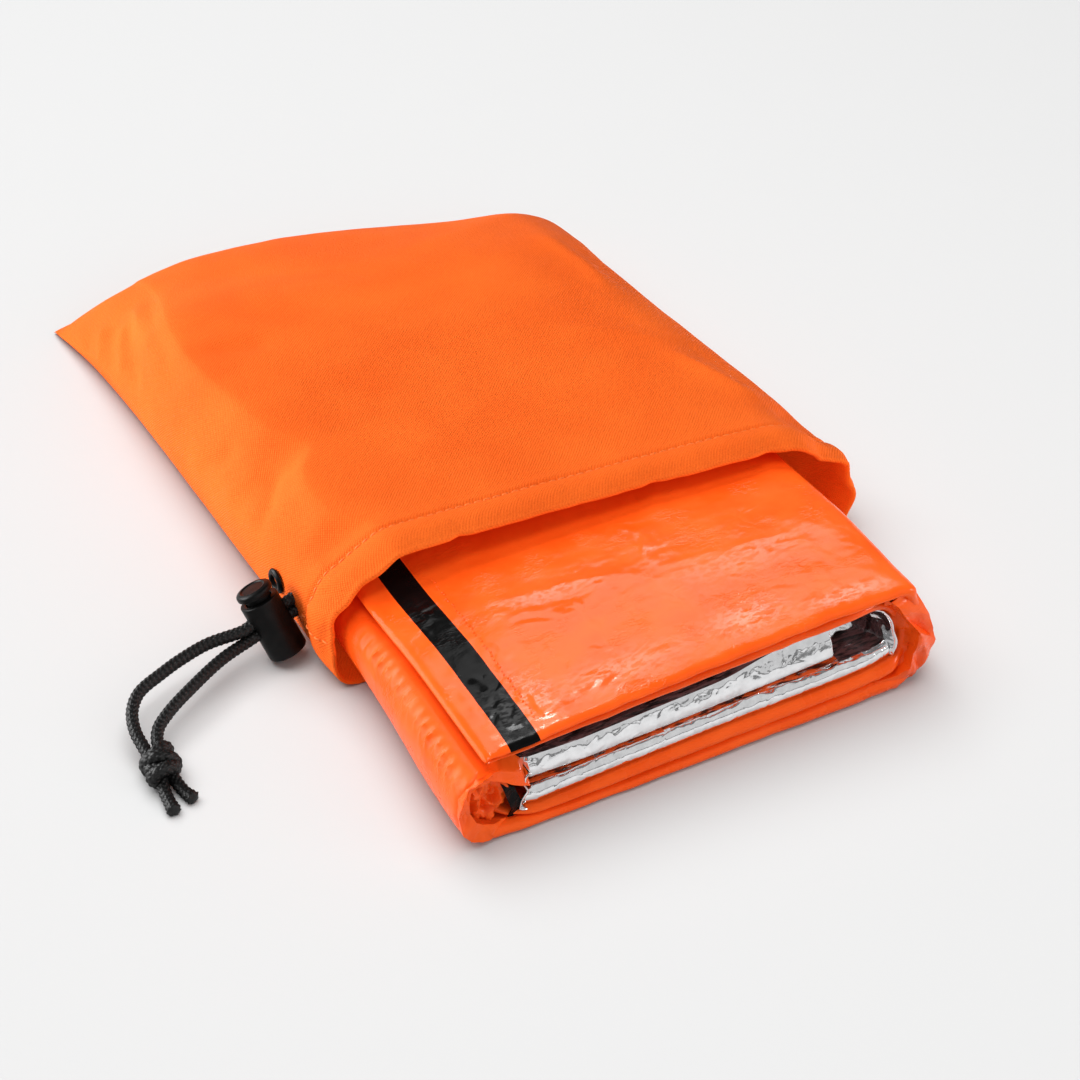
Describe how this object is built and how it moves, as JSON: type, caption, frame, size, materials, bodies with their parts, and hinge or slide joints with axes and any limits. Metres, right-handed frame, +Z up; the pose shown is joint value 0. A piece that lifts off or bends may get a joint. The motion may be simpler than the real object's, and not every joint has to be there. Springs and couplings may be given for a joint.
{
  "type": "folded emergency sleeping bag",
  "caption": "Film emergency sleeping bag folded flat with its silver lining showing, partly drawn out of a woven drawstring sack with a cord lock.",
  "frame": {"origin": "on the floor, under the middle of the bag and sack together, the free cord not counted", "axes": "+X across the bag, away from the side with the cord; +Y from the bag's front end to the sack's closed end; +Z up"},
  "size_m": [0.2405, 0.2874, 0.0426],
  "materials": {
    "sack_cloth": "plain woven polyester, matt",
    "film": "crinkled glossy film",
    "silver_film": "crinkled mirror-like aluminised film",
    "black_plastic": "satin moulded",
    "black_braid": "round braid"
  },
  "bodies": {
    "bag_and_sack": {"sack_body": "sack_cloth", "bag_film": "film", "silver_inner": "silver_film", "eyelet": "black_plastic", "cord_lock_barrel": "black_plastic", "cord_strand_a": "black_braid", "cord_strand_b": "black_braid", "cord_tail_a": "black_braid", "cord_tail_b": "black_braid", "cord_knot": "black_braid"},
    "lock_plunger": {"cord_lock_plunger": "black_plastic"}
  },
  "joints": [
    {"name": "plunger_press", "type": "slide", "parent": "bag_and_sack", "child": "lock_plunger", "axis": [0.2801, -0.4051, -0.8703], "range_m": [0, 0.0016], "stiffness_N_per_m": 1500, "springref_m": -0.002}
  ]
}
